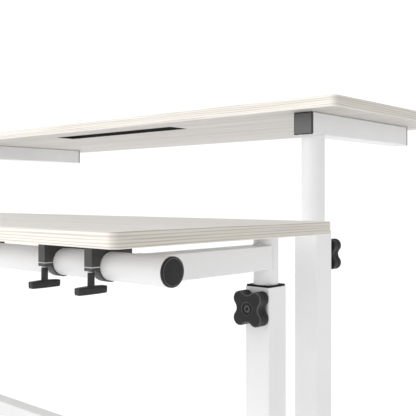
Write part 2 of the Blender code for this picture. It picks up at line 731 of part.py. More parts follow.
def build_drawing_board():
    """The tilting board with its clamps, all carried about the pivot tube's axis."""
    carrier = pivot("board_tilt_axis", (0.0, TUBE_Y, TUBE_Z))
    board = build_board("drawing_board", DRAW_WIDTH, DRAW_DEPTH, DRAW_UNDER_Z, DRAW_FRONT_Y)
    carry(carrier, board)
    for side, sign in SIDES:
        middle = build_saddle(f"middle_saddle_{side}", sign * MIDDLE_BRACKET_X, False)
        carry(carrier, middle)
        for place, offset in zip(("outer", "inner"), CLAMP_OFFSETS):
            x = sign * (SIDE_X - offset)
            saddle = build_saddle(f"{place}_saddle_{side}", x, True)
            strap = build_strap(f"{place}_strap_{side}", x)
            screw = build_clamp_screw(f"{place}_clamp_screw_{side}", x)
            carry(carrier, saddle, strap, screw)
    return carrier


def build_upper_tier():
    carrier = pivot("upper_tier_axis", (0.0, REAR_POST_Y, RAIL_Z))
    shelf = build_board("shelf", SHELF_WIDTH, SHELF_DEPTH, SHELF_UNDER_Z, SHELF_FRONT_Y)
    slot_centre = (0.0, SHELF_FRONT_Y + SLOT_SETBACK, SHELF_UNDER_Z + BOARD_THICKNESS / 2)
    outline = rounded_rectangle(SLOT_LENGTH, SLOT_WIDTH, SLOT_CORNER)
    slot = extrusion(
        "cable_slot", [outline], 2 * BOARD_THICKNESS, slot_centre, FACING_UP, LAMINATE, 0.0, CUTTERS
    )
    combine(shelf, as_cutter(slot), "DIFFERENCE")
    outer = rounded_rectangle(SLOT_LENGTH - 2 * GAP, SLOT_WIDTH - 2 * GAP, SLOT_CORNER - GAP)
    lip = GAP + LINER_WALL
    inner = rounded_rectangle(SLOT_LENGTH - 2 * lip, SLOT_WIDTH - 2 * lip, SLOT_CORNER - lip)
    liner = extrusion(
        "slot_liner", [outer, inner], BOARD_THICKNESS - 2 * GAP, slot_centre, FACING_UP, BLACK_PLASTIC
    )
    carry(carrier, shelf, liner)
    cap_stack = GAP + CAP_PLATE
    rail_front = SHELF_FRONT_Y + RAIL_FRONT_SETBACK + cap_stack
    rail_rear = SHELF_FRONT_Y + SHELF_DEPTH - RAIL_REAR_SETBACK - cap_stack
    for side, sign in SIDES:
        x = sign * SIDE_X
        centre = (x, (rail_front + rail_rear) / 2, RAIL_Z)
        rail = square_tube(
            f"shelf_rail_{side}", BEAM_SIZE, BEAM_WALL, BEAM_CORNER, rail_rear - rail_front, centre,
            FACING_FRONT
        )
        carry(carrier, rail)
        for end, y, facing in (("front", rail_front, FACING_FRONT), ("rear", rail_rear, FACING_REAR)):
            tube_end = Matrix.Translation((x, y, RAIL_Z)).translation
            cap = square_cap(f"rail_cap_{end}_{side}", BEAM_SIZE, BEAM_WALL, BEAM_CORNER, tube_end, facing)
            carry(carrier, cap)
        post_top = RAIL_Z - BEAM_SIZE / 2 - GAP
        post = build_post(f"rear_post_{side}", x, REAR_POST_Y, post_top, REAR_POST_LENGTH, False)
        carry(carrier, post)
    return carrier


def build_crossbar():
    reach = SIDE_SPACING - COLUMN_SIZE - 2 * GAP
    centre = (0.0, REAR_POST_Y, FOOT_TOP_Z + CROSSBAR_HEIGHT - BEAM_SIZE / 2)
    return square_tube("crossbar", BEAM_SIZE, BEAM_WALL, BEAM_CORNER, reach, centre, FACING_X)


def build_base():
    for side, sign in SIDES:
        x = sign * SIDE_X
        build_foot(side, x)
        build_column("front", side, x, FRONT_POST_Y, FRONT_COLUMN_LENGTH, FACING_FRONT)
        build_column("rear", side, x, REAR_POST_Y, REAR_COLUMN_LENGTH, FACING_REAR)
    build_crossbar()


build_base()
build_lower_tier()
build_drawing_board()
build_upper_tier()
bpy.context.view_layer.update()
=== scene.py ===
"""Looks of the two-tier mobile desk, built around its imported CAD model.

Metres, in the CAD model's frame: +Z up, +X to the user's right, the user on the -Y side.
Every piece stands where its CAD node does, and rides on the same body.
"""

import json
import math
import random

import bmesh
import bpy
from mathutils import Matrix, Vector


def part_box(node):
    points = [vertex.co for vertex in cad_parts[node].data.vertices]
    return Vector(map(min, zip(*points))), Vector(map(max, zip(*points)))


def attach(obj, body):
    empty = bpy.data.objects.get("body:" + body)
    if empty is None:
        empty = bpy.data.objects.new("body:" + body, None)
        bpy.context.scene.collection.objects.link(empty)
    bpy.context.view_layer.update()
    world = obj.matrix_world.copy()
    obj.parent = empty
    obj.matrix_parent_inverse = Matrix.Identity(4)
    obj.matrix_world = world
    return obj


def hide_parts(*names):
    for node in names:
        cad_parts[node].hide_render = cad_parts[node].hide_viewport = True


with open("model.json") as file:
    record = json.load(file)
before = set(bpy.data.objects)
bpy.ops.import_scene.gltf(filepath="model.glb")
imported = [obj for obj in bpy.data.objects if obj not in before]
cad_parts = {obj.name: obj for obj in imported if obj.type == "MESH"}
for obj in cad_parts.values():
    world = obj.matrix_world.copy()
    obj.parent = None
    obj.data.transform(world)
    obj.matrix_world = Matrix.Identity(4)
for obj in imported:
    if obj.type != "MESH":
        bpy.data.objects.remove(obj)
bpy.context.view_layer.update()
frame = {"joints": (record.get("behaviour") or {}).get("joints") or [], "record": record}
RECORD = frame["record"]
BODY_OF = {node: body for body, nodes in RECORD["behaviour"]["bodies"].items() for node in nodes}
RANDOM = random.Random(7)
SIDES = (("right", 1), ("left", -1))
QUARTER = math.pi / 2

# ------------------------------------------------------------ detail sizes (m)
BOARD_CORNER = 0.010
BOARD_RIM = 0.0014
SLOT_CORNER = 0.004
LINER_WALL = 0.002
LINER_LIP = 0.0006
STEEL_WALL = 0.0013
COLUMN_CORNER = 0.0021
BEAM_CORNER = 0.0015
BORE_CORNER_FLOOR = 0.0006
COLUMN_SIZE_FLOOR = 0.034
TUBE_RIM = 0.0004
POST_WALL = 0.0015
POST_LID = 0.004
CENTRE_FACET = 0.001  # radius of the small flat that closes a turned end
BEAD_RADIUS = 0.0010
BEAD_SPACING = 0.0012
BEAD_SIDES = 8
BEAD_RIPPLE = 0.16
BEAD_RIPPLE_TURN = 2.4
BEAD_JITTER = 0.08
BORE_GAP = 0.0003
LUG_HEIGHT = 0.0035

# Local (x, y, z) turned so that local z points along a world axis.
ALONG_X = Matrix(((0, 0, 1), (1, 0, 0), (0, 1, 0))).to_4x4()
ALONG_BACK = Matrix(((-1, 0, 0), (0, 0, 1), (0, 1, 0))).to_4x4()
ALONG_FRONT = Matrix(((1, 0, 0), (0, 0, -1), (0, 1, 0))).to_4x4()
ALONG_LEFT = Matrix(((0, 0, -1), (-1, 0, 0), (0, 1, 0))).to_4x4()
UPRIGHT = Matrix.Identity(4)
FACING = {"front": ALONG_FRONT, "rear": ALONG_BACK}


# ------------------------------------------------------------------- materials
def link(tree, source, output, target, entry):
    tree.links.new(source.outputs[output], target.inputs[entry])


def new_material(name, roughness, metallic=0.0):
    material = bpy.data.materials.new(name)
    material.use_nodes = True
    tree = material.node_tree
    shader = tree.nodes["Principled BSDF"]
    shader.inputs["Roughness"].default_value = roughness
    shader.inputs["Metallic"].default_value = metallic
    return material, tree, shader


def stretched_noise(tree, stretch, detail=4.0, rough=0.55, warp=0.0):
    """Noise in the frame's metres; stretch is its cycles per metre along x, y and z."""
    place = tree.nodes.new("ShaderNodeTexCoord")
    scale = tree.nodes.new("ShaderNodeMapping")
    scale.inputs["Scale"].default_value = stretch
    noise = tree.nodes.new("ShaderNodeTexNoise")
    noise.inputs["Scale"].default_value = 1.0
    noise.inputs["Detail"].default_value = detail
    noise.inputs["Roughness"].default_value = rough
    noise.inputs["Distortion"].default_value = warp
    link(tree, place, "Object", scale, "Vector")
    link(tree, scale, "Vector", noise, "Vector")
    return noise


def ramp(tree, source, stops, output="Fac"):
    """A colour ramp over the source's output; stops are (position, (r, g, b))."""
    colours = tree.nodes.new("ShaderNodeValToRGB")
    elements = colours.color_ramp.elements
    while len(elements) < len(stops):
        elements.new(0.5)
    for element, (position, colour) in zip(elements, stops):
        element.position = position
        element.color = (*colour, 1.0)
    link(tree, source, output, colours, "Fac")
    return colours


def multiply_colours(tree, factor, first, second):
    mixer = tree.nodes.new("ShaderNodeMix")
    mixer.data_type = "RGBA"
    mixer.blend_type = "MULTIPLY"
    mixer.inputs[0].default_value = factor
    tree.links.new(first, mixer.inputs[6])
    tree.links.new(second, mixer.inputs[7])
    return mixer


def ply_lines(tree):
    """Thin lines about 3 mm apart in height that wander slowly along the edge."""
    place = tree.nodes.new("ShaderNodeTexCoord")
    mapping = tree.nodes.new("ShaderNodeMapping")
    mapping.inputs["Scale"].default_value = (1.3, 1.3, 104.0)
    link(tree, place, "Object", mapping, "Vector")
    wave = tree.nodes.new("ShaderNodeTexWave")
    wave.wave_type = "BANDS"
    wave.bands_direction = "Z"
    wave.inputs["Scale"].default_value = 1.0
    wave.inputs["Distortion"].default_value = 5.0
    wave.inputs["Detail"].default_value = 2.0
    wave.inputs["Detail Scale"].default_value = 2.2
    link(tree, mapping, "Vector", wave, "Vector")
    return wave


def vary_roughness(tree, shader, noise, low, high):
    span = tree.nodes.new("ShaderNodeMapRange")
    span.inputs["From Min"].default_value = 0.3
    span.inputs["From Max"].default_value = 0.7
    span.inputs["To Min"].default_value = low
    span.inputs["To Max"].default_value = high
    link(tree, noise, "Fac", span, "Value")
    link(tree, span, "Result", shader, "Roughness")


def add_bump(tree, shader, noise, distance, strength):
    bump = tree.nodes.new("ShaderNodeBump")
    bump.inputs["Distance"].default_value = distance
    bump.inputs["Strength"].default_value = strength
    link(tree, noise, "Fac", bump, "Height")
    link(tree, bump, "Normal", shader, "Normal")


def wood_face(name, tones, pores):
    """White-washed maple laminate: grain along x, fine pores and broad soft bands."""
    material, tree, shader = new_material(name, 0.5)
    bands = stretched_noise(tree, (1.6, 38.0, 38.0), 5.0, 0.6, 0.7)
    grain = stretched_noise(tree, (7.0, 420.0, 420.0), 4.0, 0.6, 0.2)
    broad = ramp(tree, bands, ((0.28, tones[0]), (0.52, tones[1]), (0.75, tones[2])))
    fine = ramp(tree, grain, ((0.32, pores), (0.60, (1.0, 1.0, 1.0))))
    mixer = multiply_colours(tree, 0.75, broad.outputs[0], fine.outputs[0])
    tree.links.new(mixer.outputs[2], shader.inputs["Base Color"])
    vary_roughness(tree, shader, grain, 0.56, 0.44)
    add_bump(tree, shader, grain, 0.00012, 0.35)
    shader.inputs["Specular IOR Level"].default_value = 0.4
    return material


def wood_edge():
    """Edge band printed with thin plies along the edge; the faces at the two ends are darkened with painted
    shade.
    """
    material, tree, shader = new_material("maple_edge", 0.48)
    lines = ply_lines(tree)
    plies = stretched_noise(tree, (1.6, 1.6, 300.0), 2.0, 0.5, 0.2)
    streaks = stretched_noise(tree, (22.0, 22.0, 1100.0), 3.0, 0.6, 0.1)
    broad = ramp(tree, plies, ((0.36, (0.80, 0.765, 0.71)), (0.60, (0.885, 0.865, 0.825))))
    drawn = ramp(tree, lines, ((0.04, (0.66, 0.62, 0.57)), (0.40, (1.0, 1.0, 1.0))))
    fine = ramp(tree, streaks, ((0.35, (0.91, 0.89, 0.86)), (0.60, (1.0, 1.0, 1.0))))
    lined = multiply_colours(tree, 0.75, broad.outputs[0], drawn.outputs[0])
    print_colour = multiply_colours(tree, 0.7, lined.outputs[2], fine.outputs[0])
    place = tree.nodes.new("ShaderNodeTexCoord")
    parts = tree.nodes.new("ShaderNodeSeparateXYZ")
    link(tree, place, "Normal", parts, "Vector")
    sideways = tree.nodes.new("ShaderNodeMath")
    sideways.operation = "ABSOLUTE"
    link(tree, parts, "X", sideways, 0)
    # Painted shade: the more an edge face turns towards x, the board's ends, the darker it is made.
    side_shade = ramp(tree, sideways, ((0.30, (1.0, 1.0, 1.0)), (0.95, (0.755, 0.75, 0.735))), "Value")
    mixer = multiply_colours(tree, 1.0, print_colour.outputs[2], side_shade.outputs[0])
    tree.links.new(mixer.outputs[2], shader.inputs["Base Color"])
    vary_roughness(tree, shader, streaks, 0.52, 0.42)
    add_bump(tree, shader, streaks, 0.00008, 0.3)
    return material


def speckled(name, tones, coarse, fine, rough, bump, metallic=0.0, specular=0.5):
    """Coated or moulded surface: slow tone drift, fine grained gloss and relief."""
    material, tree, shader = new_material(name, rough[0], metallic)
    drift = stretched_noise(tree, (coarse, coarse, coarse), 3.0)
    grain = stretched_noise(tree, (fine, fine, fine), 3.0, 0.6)
    colours = ramp(tree, drift, ((0.35, tones[0]), (0.65, tones[1])))
    link(tree, colours, "Color", shader, "Base Color")
    vary_roughness(tree, shader, grain, *rough)
    add_bump(tree, shader, grain, *bump)
    shader.inputs["Specular IOR Level"].default_value = specular
    return material


FACE = wood_face(
    "maple_face", ((0.70, 0.675, 0.64), (0.745, 0.725, 0.695), (0.785, 0.77, 0.745)), (0.90, 0.875, 0.84)
)
# Painted shade: a darker copy of the maple face for the shelf's underside, which gets less light.
SHADED_UNDERSIDE = wood_face(
    "maple_underside_painted_shade", ((0.50, 0.48, 0.455), (0.575, 0.555, 0.53), (0.64, 0.625, 0.60)), (0.84, 0.815, 0.78)
)
EDGE = wood_edge()
STEEL = speckled(
    "white_powder_coat", ((0.745, 0.745, 0.75), (0.775, 0.775, 0.78)), 9.0, 900.0,
    rough=(0.34, 0.44), bump=(0.00006, 0.35)
)
GREY = speckled(
    "dark_grey_plastic", ((0.014, 0.014, 0.0145), (0.020, 0.020, 0.0205)), 40.0, 1500.0,
    rough=(0.36, 0.48), bump=(0.00005, 0.4), specular=0.8
)
CAP_GREY = speckled(
    "end_cap_plastic", ((0.095, 0.095, 0.096), (0.110, 0.110, 0.111)), 40.0, 1500.0,
    rough=(0.42, 0.58), bump=(0.00006, 0.5)
)
BLACK = speckled(
    "black_plastic", ((0.006, 0.006, 0.006), (0.009, 0.009, 0.009)), 60.0, 1600.0,
    rough=(0.50, 0.64), bump=(0.00005, 0.4), specular=0.12
)
KNOB = speckled(
    "knob_plastic", ((0.012, 0.012, 0.0125), (0.018, 0.018, 0.0185)), 70.0, 1700.0,
    rough=(0.42, 0.56), bump=(0.00007, 0.5), specular=0.25
)
HANDLE = speckled(
    "clamp_handle_plastic", ((0.024, 0.024, 0.0245), (0.032, 0.032, 0.0325)), 70.0, 1700.0,
    rough=(0.42, 0.56), bump=(0.00007, 0.5), specular=0.25
)
# Painted highlight: a lighter plastic laid where light catches the knobs' rims, recess edges and hexagons,
# and the tube caps' rims.
PAINTED_SHEEN = speckled(
    "painted_highlight_plastic", ((0.040, 0.040, 0.041), (0.052, 0.052, 0.053)), 70.0, 1700.0,
    rough=(0.28, 0.38), bump=(0.00005, 0.4), specular=0.6
)
ZINC = speckled(
    "zinc_plated_steel", ((0.56, 0.57, 0.58), (0.66, 0.67, 0.68)), 60.0, 700.0,
    rough=(0.22, 0.38), bump=(0.00004, 0.3), metallic=1.0
)
RUBBER = speckled(
    "grey_rubber_tread", ((0.040, 0.040, 0.041), (0.055, 0.055, 0.056)), 50.0, 1100.0,
    rough=(0.60, 0.78), bump=(0.00012, 0.6)
)
NYLON = speckled(
    "pale_nylon", ((0.52, 0.52, 0.51), (0.58, 0.58, 0.57)), 60.0, 900.0, (0.45, 0.6), (0.00004, 0.3)
)


# ------------------------------------------------------------------- outlines
def arc(centre_x, centre_y, radius, start, end, steps):
    points = []
    for step in range(steps + 1):
        angle = start + (end - start) * step / steps
        points.append((centre_x + radius * math.cos(angle), centre_y + radius * math.sin(angle)))
    return points


def circle(radius, steps=48):
    return arc(0.0, 0.0, radius, 0.0, 2 * math.pi * (1 - 1 / steps), steps - 1)


def rounded_rectangle(width, height, radius, steps=6, side_steps=1):
    """Centred outline; each straight side can be split into side_steps parts."""
    half_x = width / 2 - radius
    half_y = height / 2 - radius
    corners = []
    for quarter, (sign_x, sign_y) in enumerate(((1, 1), (-1, 1), (-1, -1), (1, -1))):
        start = quarter * QUARTER
        corners.append(arc(sign_x * half_x, sign_y * half_y, radius, start, start + QUARTER, steps))
    points = []
    for index, corner in enumerate(corners):
        points += corner
        (x0, y0), (x1, y1) = corner[-1], corners[(index + 1) % 4][0]
        for part in range(1, side_steps):
            share = part / side_steps
            points.append((x0 + (x1 - x0) * share, y0 + (y1 - y0) * share))
    return points


def projected_circle(outline, radius):
    """The circle's points at the outline's polar angles."""
    return [(radius * math.cos(a), radius * math.sin(a)) for a in (math.atan2(y, x) for x, y in outline)]


def inset(outline, amount):
    """The outline moved inward by amount, corners mitred; it runs counterclockwise."""
    moved = []
    count = len(outline)
    for index, (x, y) in enumerate(outline):
        before = Vector(outline[index]) - Vector(outline[index - 1])
        after = Vector(outline[(index + 1) % count]) - Vector(outline[index])
        first = Vector((-before.y, before.x)).normalized()
        second = Vector((-after.y, after.x)).normalized()
        shift = (first + second) / max(0.3, 1 + first.dot(second)) * amount
        moved.append((x + shift.x, y + shift.y))
    return moved


def ring(outline, height):
    return [Vector((x, y, height)) for x, y in outline]


def rounded_prism(outline, low, high, radius, steps=3):
    """Rings of an outline swept from low to high with both rims rounded."""
    rings = []
    turns = [QUARTER * step / steps for step in range(steps + 1)]
    for end, inward, order in ((low, 1, turns), (high, -1, turns[::-1])):
        for turn in order:
            shrunk = inset(outline, radius * (1 - math.sin(turn)))
            rings.append(ring(shrunk, end + inward * radius * (1 - math.cos(turn))))
    return rings


def lathe(profile, steps=48):
    return [ring(circle(radius, steps), height) for radius, height in profile]


def star(lobes, reach, lobe_radius, valley_radius, lobe_steps=14, valley_steps=8):
    """Round lobes joined by round valleys tangent to them."""
    half_pitch = math.pi / lobes
    contact = math.asin(reach * math.sin(half_pitch) / (lobe_radius + valley_radius))
    valley_reach = reach * math.cos(half_pitch) + (lobe_radius + valley_radius) * math.cos(contact)
    span = half_pitch + contact
    points = []
    for lobe in range(lobes):
        middle = half_pitch * (2 * lobe + 1)
        centre_x = reach * math.cos(middle)
        centre_y = reach * math.sin(middle)
        points += arc(centre_x, centre_y, lobe_radius, middle - span, middle + span, lobe_steps)
        inward = middle + half_pitch + math.pi
        centre_x = -valley_reach * math.cos(inward)
        centre_y = -valley_reach * math.sin(inward)
        valley = arc(centre_x, centre_y, valley_radius, inward + contact, inward - contact, valley_steps)
        points += valley[1:-1]
    return points


# ---------------------------------------------------------------- solid builder
class Solid:
    """Closed shells gathered into one piece, each face with its finish."""

    def __init__(self, name, *materials):
        self.name = name
        self.materials = materials
        self.work = bmesh.new()

    def loft(self, rings, place=UPRIGHT, finish=0, tube=False, finishes=None):
        """Skins the rings in turn: capped at both ends, or joined end to end if tube."""
        work = self.work
        rows = [[work.verts.new(place @ point) for point in points] for points in rings]
        count = len(rows[0])
        spans = len(rows) if tube else len(rows) - 1
        made = []
        for span in range(spans):
            low, high = rows[span], rows[(span + 1) % len(rows)]
            for index in range(count):
                after = (index + 1) % count
                face = work.faces.new((low[index], low[after], high[after], high[index]))
                face.material_index = finishes[span] if finishes else finish
                made.append(face)
        if not tube:
            for row in (rows[0], rows[-1]):
                face = work.faces.new(row)
                face.material_index = finish
                made.append(face)
        bmesh.ops.recalc_face_normals(work, faces=made)
        return self

    def piece(self, *nodes, body=None, slot=None, sharp=35.0):
        """Makes the object, which stands for the nodes and rides on their body."""
        bmesh.ops.remove_doubles(self.work, verts=self.work.verts, dist=0.0000001)
        mesh = bpy.data.meshes.new(self.name)
        self.work.to_mesh(mesh)
        self.work.free()
        for material in self.materials:
            mesh.materials.append(material)
        mesh.shade_smooth()
        mesh.set_sharp_from_angle(angle=math.radians(sharp))
        obj = bpy.data.objects.new(self.name, mesh)
        bpy.context.scene.collection.objects.link(obj)
        weighted = obj.modifiers.new("even_normals", "WEIGHTED_NORMAL")
        weighted.keep_sharp = True
        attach(obj, body or BODY_OF[nodes[0]])
        if nodes:
            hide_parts(*nodes)
        return obj


def middle(low, high):
    return (low + high) / 2


def at(x, y, z, turn=UPRIGHT):
    return Matrix.Translation((x, y, z)) @ turn


# -------------------------------------------------------------------- tubework
def hollow_rings(size_x, size_y, corner, low, high):
    """Square tube: outside up, rim, inside down."""
    outer = rounded_rectangle(size_x, size_y, corner)
    inner_corner = max(corner - STEEL_WALL, BORE_CORNER_FLOOR)
    inner = rounded_rectangle(size_x - 2 * STEEL_WALL, size_y - 2 * STEEL_WALL, inner_corner)
    return [
        ring(inset(outer, TUBE_RIM), low),
        ring(outer, low + TUBE_RIM),
        ring(outer, high - TUBE_RIM),
        ring(inset(outer, TUBE_RIM), high),
        ring(inner, high),
        ring(inner, low),
    ]


def steel_corner(size):
    """Columns and feet have a rounder corner than the slimmer beams."""
    return COLUMN_CORNER if size > COLUMN_SIZE_FLOOR else BEAM_CORNER


def square_tube(node, turn, slot="white_steel"):
    """A straight square tube in place of its CAD node, long in the turn's z."""
    low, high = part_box(node)
    centre = middle(low, high)
    reach = (turn.to_3x3().transposed() @ (high - low)) / 2
    size_x, size_y, length = (abs(value) * 2 for value in reach)
    rings = hollow_rings(size_x, size_y, steel_corner(size_x), -length / 2, length / 2)
    solid = Solid(node + "_finished", STEEL)
    solid.loft(rings, Matrix.Translation(centre) @ turn, tube=True)
    return solid.piece(node, slot=slot)


def round_tube_rings(outer, low, high):
    inner = outer - POST_WALL
    profile = [
        (outer - TUBE_RIM, low), (outer, low + TUBE_RIM), (outer, high - TUBE_RIM),
        (outer - TUBE_RIM, high), (inner, high), (inner, low),
    ]
    return lathe(profile, 64)


def bead(name, body, points, normals, radius=BEAD_RADIUS):
    """A weld along a closed line: a thin rope with an uneven, overlapping surface."""
    solid = Solid(name, STEEL)
    count = len(points)
    rings = []
    for index, (point, normal) in enumerate(zip(points, normals)):
        along = (points[(index + 1) % count] - points[index - 1]).normalized()
        outward = (normal - along * normal.dot(along)).normalized()
        across = along.cross(outward)
        ripple = BEAD_RIPPLE * math.sin(index * BEAD_RIPPLE_TURN)
        size = radius * (1 + ripple + RANDOM.uniform(-BEAD_JITTER, BEAD_JITTER))
        rings.append([
            point + outward * size * math.cos(turn) + across * size * math.sin(turn)
            for turn in (2 * math.pi * part / BEAD_SIDES for part in range(BEAD_SIDES))
        ])
    return solid.loft(rings, tube=True).piece(body=body, slot="white_steel", sharp=80.0)


def densify(outline, spacing):
    """The outline with extra points on its long sides."""
    points = []
    for index, start in enumerate(outline):
        end = outline[(index + 1) % len(outline)]
        gap = math.dist(start, end)
        parts = max(1, round(gap / spacing))
        for part in range(parts):
            share = part / parts
            points.append((start[0] + (end[0] - start[0]) * share, start[1] + (end[1] - start[1]) * share))
    return points


# An end cap's rim as (inset, depth), from the plate's edge over a ledge to the raised pad.
CAP_RIM = ((0.0, 0.0010), (0.0003, 0.0007), (0.0009, 0.0007), (0.0010, 0.0002), (0.0012, 0.0))
CAP_CORNER_SHARE = 0.8
PLUG_PLAY = 0.0003
PLUG_CORNER = 0.0008
BOSS_BORE = 0.0043
BOSS_RADIUS = 0.0070
BOSS_BEVEL = 0.0003
BOSS_WELD_RADIUS = 0.0084
BOSS_WELD_EDGE = 0.0002
BOSS_WELD_HEIGHT = 0.0006
COLLAR_BEVEL = 0.0006
COLLAR_SOFTNESS = 0.0002
COLLAR_FUNNEL = 0.0008
FOOT_BEAD_LIFT = 0.3
FOOT_BEAD_LEAN = 0.3


def build_base():
    for side, _ in SIDES:
        build_foot(side)
        for tier in ("front", "rear"):
            build_column(tier, side)
    square_tube("crossbar", ALONG_X)
    low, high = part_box("crossbar")
    outline = densify(rounded_rectangle(high.y - low.y, high.z - low.z, BEAM_CORNER), BEAD_SPACING)
    centre = middle(low, high)
    for side, sign in SIDES:
        end = high.x if sign > 0 else low.x
        points = [Vector((end, centre.y + y, centre.z + z)) for y, z in outline]
        normals = [Vector((0.0, y, z)).normalized() for y, z in outline]
        bead(f"crossbar_weld_{side}", "base", points, normals)


def build_foot(side):
    node = f"foot_{side}"
    square_tube(node, ALONG_FRONT)
    for end in ("front", "rear"):
        square_cap(f"foot_cap_{end}_{side}", FACING[end], node)
        build_caster(f"{end}_{side}")


def square_cap(node, turn, tube_node):
    """A plug's plate over a square tube's end: a raised pad with a ledge round it, the ledge coloured black
    as painted shade.
    """
    low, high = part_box(node)
    tube_low, tube_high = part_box(tube_node)
    outward = turn.to_3x3().col[2].y
    face = high.y if outward > 0 else low.y
    seat = tube_high.y if outward > 0 else tube_low.y
    thickness = abs(face - seat) - BORE_GAP
    width, height = high.x - low.x, high.z - low.z
    centre = middle(low, high)
    place = at(centre.x, face, centre.z, turn)
    outer = rounded_rectangle(width, height, steel_corner(width) * CAP_CORNER_SHARE)
    tube_wall = 2 * (STEEL_WALL + PLUG_PLAY)
    plug = rounded_rectangle(width - tube_wall, height - tube_wall, PLUG_CORNER)
    depth = abs(high.y - low.y)
    rings = [ring(plug, -depth), ring(plug, -thickness), ring(outer, -thickness)]
    rings += [ring(inset(outer, inward), -down) for inward, down in CAP_RIM]
    # Painted shade: the ledge round the pad takes the black plastic.
    finishes = [0, 0, 0, 1, 1, 1, 0]
    solid = Solid(node + "_finished", CAP_GREY, BLACK)
    solid.loft(rings, place, finishes=finishes)
    return solid.piece(node, slot="grey_plastic")


def build_column(tier, side):
    node = f"{tier}_column_{side}"
    low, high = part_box(node)
    foot_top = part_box(f"foot_{side}")[1].z
    size = high.x - low.x
    x = middle(low, high).x
    turn = FACING[tier]
    outward = turn.to_3x3().col[2].y
    boss_face = (high.y if outward > 0 else low.y)
    y = (low.y if outward > 0 else high.y) + outward * size / 2
    boss_height = abs(boss_face - y) - size / 2
    knob_low, knob_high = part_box(f"{tier}_knob_{side}")
    knob_z = middle(knob_low, knob_high).z
    solid = Solid(node + "_finished", STEEL)
    solid.loft(hollow_rings(size, size, COLUMN_CORNER, low.z, high.z), at(x, y, 0.0), tube=True)
    start = size / 2 - STEEL_WALL / 2
    end = size / 2 + boss_height
    boss = [
        (BOSS_BORE, start), (BOSS_WELD_RADIUS, start), (BOSS_WELD_RADIUS, size / 2 + BOSS_WELD_EDGE),
        (BOSS_RADIUS + BOSS_BEVEL, size / 2 + BOSS_WELD_HEIGHT), (BOSS_RADIUS, end - BOSS_BEVEL),
        (BOSS_RADIUS - BOSS_BEVEL, end), (BOSS_BORE, end),
    ]
    solid.loft(lathe(boss, 40), at(x, y, knob_z, turn), tube=True)
    solid.piece(node, slot="white_steel")
    outline = densify(rounded_rectangle(size, size, COLUMN_CORNER), BEAD_SPACING)
    line_z = foot_top + BEAD_RADIUS * FOOT_BEAD_LIFT
    points = [Vector((x + dx, y + dy, line_z)) for dx, dy in outline]
    normals = [Vector((dx, dy, size * FOOT_BEAD_LEAN)).normalized() for dx, dy in outline]
    bead(f"{tier}_column_weld_{side}", "base", points, normals)
    build_collar(tier, side, x, y, high.z, size)
    build_knob(tier, side, x, y, knob_z, turn, size / 2 + boss_height)


def build_collar(tier, side, x, y, column_top, column_size):
    """Black guide: a thin bevelled plate on the column with a round bore for the post."""
    node = f"{tier}_collar_{side}"
    low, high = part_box(node)
    flange = high.x - low.x
    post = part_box(f"{tier}_post_{side}")
    bore = (post[1].x - post[0].x) / 2 + BORE_GAP
    plate = rounded_rectangle(flange, flange, COLUMN_CORNER * CAP_CORNER_SHARE, 8)
    plug = inset(plate, (flange - column_size) / 2 + STEEL_WALL + BORE_GAP)
    rings = [
        ring(plug, low.z), ring(plug, column_top + BORE_GAP), ring(plate, column_top + BORE_GAP),
        ring(plate, high.z - COLLAR_BEVEL), ring(inset(plate, COLLAR_SOFTNESS), high.z - COLLAR_SOFTNESS),
        ring(inset(plate, COLLAR_BEVEL), high.z),
        ring(projected_circle(plate, bore + COLLAR_FUNNEL), high.z),
        ring(projected_circle(plate, bore), high.z - COLLAR_BEVEL),
        ring(projected_circle(plate, bore), low.z),
    ]
    solid = Solid(node + "_finished", BLACK)
    solid.loft(rings, at(x, y, 0.0), tube=True)
    return solid.piece(node, slot="black_plastic")


# ------------------------------------------------------------------ star knobs
KNOB_GRIP = 0.0173
KNOB_RIM = 0.0013
KNOB_LOBE_REACH = 0.0170
KNOB_LOBE_RADIUS = 0.0093
KNOB_VALLEY_RADIUS = 0.0085
KNOB_WAIST = 0.0016  # half the width of the groove round the grip
KNOB_WAIST_FLOOR = 0.0010
KNOB_WAIST_DEPTH = 0.0005
KNOB_RECESS = 0.0076
KNOB_RECESS_DEPTH = 0.0017
KNOB_RECESS_FLOOR = 0.0045
KNOB_HEX_RADIUS = 0.0050
KNOB_HEX_HEIGHT = 0.0013
KNOB_HEX_BEVEL = 0.0005
KNOB_CUP_RADIUS = 0.0027
HUB_RADIUS = 0.0100
STUD_RADIUS = 0.0040
STUD_BEVEL = 0.0003


